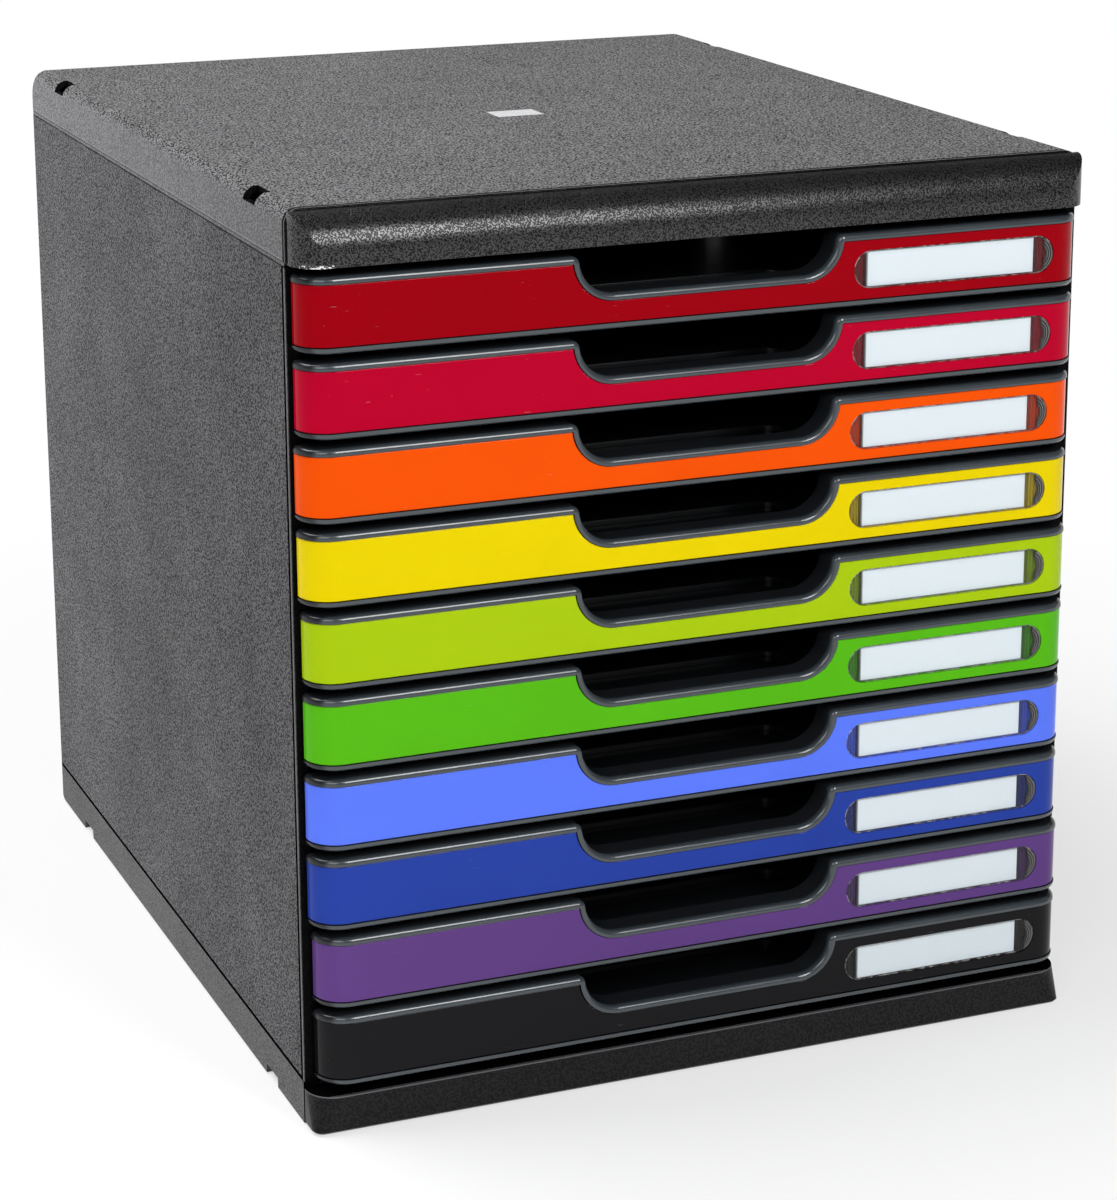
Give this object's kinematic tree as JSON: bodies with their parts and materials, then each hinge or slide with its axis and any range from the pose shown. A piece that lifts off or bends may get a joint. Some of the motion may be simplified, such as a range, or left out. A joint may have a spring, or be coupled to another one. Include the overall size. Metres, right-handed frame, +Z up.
{
  "type": "desktop drawer unit",
  "caption": "Stackable desktop drawer unit: a black cabinet with shallow coloured sliding drawers, each with a finger cut-out and a clear label window.",
  "frame": {"origin": "middle of the footprint, on the plane that the foot pads stand on", "axes": "+Z up, -Y towards the drawer fronts, +X to the right of someone facing the fronts"},
  "size_m": [0.288, 0.355, 0.316],
  "materials": {
    "cover_grey": "fine matt grain",
    "grained_black": "coarse satin grain",
    "badge_bright": "gloss",
    "side_grain": "leather-like grain",
    "rubber": "matt",
    "gloss_black": "gloss",
    "tray_slate": "semi-gloss",
    "front_dark_red": "high gloss",
    "clear_window": "clear gloss",
    "card_white": "matt",
    "front_crimson": "high gloss",
    "front_orange": "high gloss",
    "front_yellow": "high gloss",
    "front_lime": "high gloss",
    "front_green": "high gloss",
    "front_cornflower_blue": "high gloss",
    "front_navy_blue": "high gloss",
    "front_purple": "high gloss",
    "front_black": "high gloss"
  },
  "bodies": {
    "cabinet": {"top_cover": "cover_grey", "top_visor": "grained_black", "badge_plate": "badge_bright", "left_side_panel": "side_grain", "right_side_panel": "side_grain", "back_panel": "side_grain", "base_pan": "side_grain", "base_fascia": "grained_black", "foot_pads": "rubber", "left_runner_frame": "gloss_black", "right_runner_frame": "gloss_black"},
    "drawer_01": {"drawer_01_tray": "tray_slate", "drawer_01_front": "front_dark_red", "drawer_01_window": "clear_window", "drawer_01_card": "card_white"},
    "drawer_02": {"drawer_02_tray": "tray_slate", "drawer_02_front": "front_crimson", "drawer_02_window": "clear_window", "drawer_02_card": "card_white"},
    "drawer_03": {"drawer_03_tray": "tray_slate", "drawer_03_front": "front_orange", "drawer_03_window": "clear_window", "drawer_03_card": "card_white"},
    "drawer_04": {"drawer_04_tray": "tray_slate", "drawer_04_front": "front_yellow", "drawer_04_window": "clear_window", "drawer_04_card": "card_white"},
    "drawer_05": {"drawer_05_tray": "tray_slate", "drawer_05_front": "front_lime", "drawer_05_window": "clear_window", "drawer_05_card": "card_white"},
    "drawer_06": {"drawer_06_tray": "tray_slate", "drawer_06_front": "front_green", "drawer_06_window": "clear_window", "drawer_06_card": "card_white"},
    "drawer_07": {"drawer_07_tray": "tray_slate", "drawer_07_front": "front_cornflower_blue", "drawer_07_window": "clear_window", "drawer_07_card": "card_white"},
    "drawer_08": {"drawer_08_tray": "tray_slate", "drawer_08_front": "front_navy_blue", "drawer_08_window": "clear_window", "drawer_08_card": "card_white"},
    "drawer_09": {"drawer_09_tray": "tray_slate", "drawer_09_front": "front_purple", "drawer_09_window": "clear_window", "drawer_09_card": "card_white"},
    "drawer_10": {"drawer_10_tray": "tray_slate", "drawer_10_front": "front_black", "drawer_10_window": "clear_window", "drawer_10_card": "card_white"}
  },
  "joints": [
    {"name": "drawer_01_slide", "type": "slide", "parent": "cabinet", "child": "drawer_01", "axis": [0, -1, 0], "range_m": [0, 0.245]},
    {"name": "drawer_02_slide", "type": "slide", "parent": "cabinet", "child": "drawer_02", "axis": [0, -1, 0], "range_m": [0, 0.245]},
    {"name": "drawer_03_slide", "type": "slide", "parent": "cabinet", "child": "drawer_03", "axis": [0, -1, 0], "range_m": [0, 0.245]},
    {"name": "drawer_04_slide", "type": "slide", "parent": "cabinet", "child": "drawer_04", "axis": [0, -1, 0], "range_m": [0, 0.245]},
    {"name": "drawer_05_slide", "type": "slide", "parent": "cabinet", "child": "drawer_05", "axis": [0, -1, 0], "range_m": [0, 0.245]},
    {"name": "drawer_06_slide", "type": "slide", "parent": "cabinet", "child": "drawer_06", "axis": [0, -1, 0], "range_m": [0, 0.245]},
    {"name": "drawer_07_slide", "type": "slide", "parent": "cabinet", "child": "drawer_07", "axis": [0, -1, 0], "range_m": [0, 0.245]},
    {"name": "drawer_08_slide", "type": "slide", "parent": "cabinet", "child": "drawer_08", "axis": [0, -1, 0], "range_m": [0, 0.245]},
    {"name": "drawer_09_slide", "type": "slide", "parent": "cabinet", "child": "drawer_09", "axis": [0, -1, 0], "range_m": [0, 0.245]},
    {"name": "drawer_10_slide", "type": "slide", "parent": "cabinet", "child": "drawer_10", "axis": [0, -1, 0], "range_m": [0, 0.245]}
  ]
}
